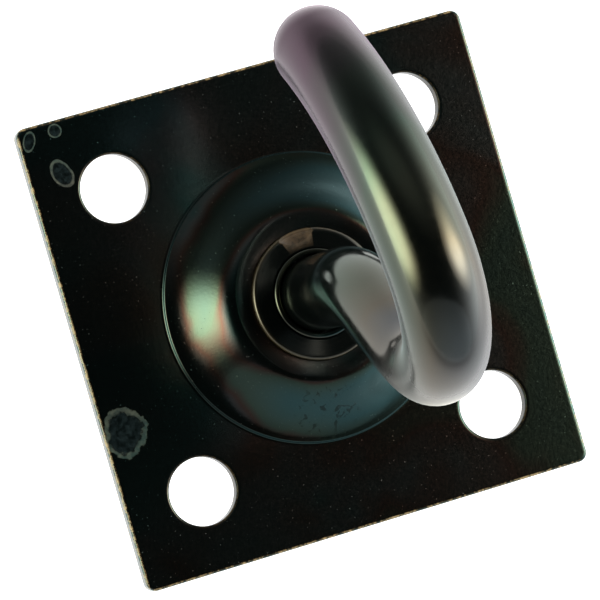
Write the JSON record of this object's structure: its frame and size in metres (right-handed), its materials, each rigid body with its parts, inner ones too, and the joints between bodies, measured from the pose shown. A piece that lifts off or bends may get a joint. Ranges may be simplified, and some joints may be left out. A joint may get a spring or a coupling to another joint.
{
  "type": "swivel hoist ring",
  "caption": "Open swivel hook on a square bolt-down plate; a pressed dome holds a ball thrust bearing, so the hook turns endlessly under load.",
  "frame": {"origin": "middle of the seating face, on the swivel axis, at the back of the dust cap that is flush with the mounting plate's back", "axes": "+Z along the swivel axis, out of the mounting surface towards the hook; +X and +Y along the plate's sides; the hook's mouth opens towards +Y in the rest pose"},
  "size_m": [0.076, 0.0791, 0.0831],
  "materials": {
    "mounting_plate": "black chromate over pressed steel, semi-gloss with fine specks",
    "dust_cap": "plain sheet steel, satin",
    "cover_washer": "black chromate, fine turned lines",
    "neck_bush": "black chromate, polished lip",
    "hook": "black chromate, high gloss with faint green and pink tints",
    "backing_washer": "dark oiled steel",
    "race": "ground steel",
    "ball_cage": "satin pressed brass",
    "ball": "polished bearing steel"
  },
  "bodies": {
    "plate": {"mounting_plate": "mounting_plate", "dust_cap": "dust_cap", "cover_washer": "cover_washer", "neck_bush": "neck_bush", "upper_race": "race"},
    "cage": {"ball_cage": "ball_cage", "ball_01": "ball", "ball_02": "ball", "ball_03": "ball", "ball_04": "ball", "ball_05": "ball", "ball_06": "ball", "ball_07": "ball", "ball_08": "ball", "ball_09": "ball", "ball_10": "ball", "ball_11": "ball", "ball_12": "ball", "ball_13": "ball", "ball_14": "ball"},
    "hook": {"hook": "hook", "backing_washer": "backing_washer", "lower_race": "race"}
  },
  "joints": [
    {"name": "hook_swivel", "type": "hinge", "parent": "plate", "child": "hook", "pos_m": [0, 0, 0.02], "axis": [0, 0, 1], "continuous": true},
    {"name": "cage_orbit", "type": "hinge", "parent": "plate", "child": "cage", "pos_m": [0, 0, 0.00525], "axis": [0, 0, 1], "continuous": true}
  ],
  "couplings": [
    {"joint": "cage_orbit", "follows": "hook_swivel", "ratio": 0.5}
  ]
}
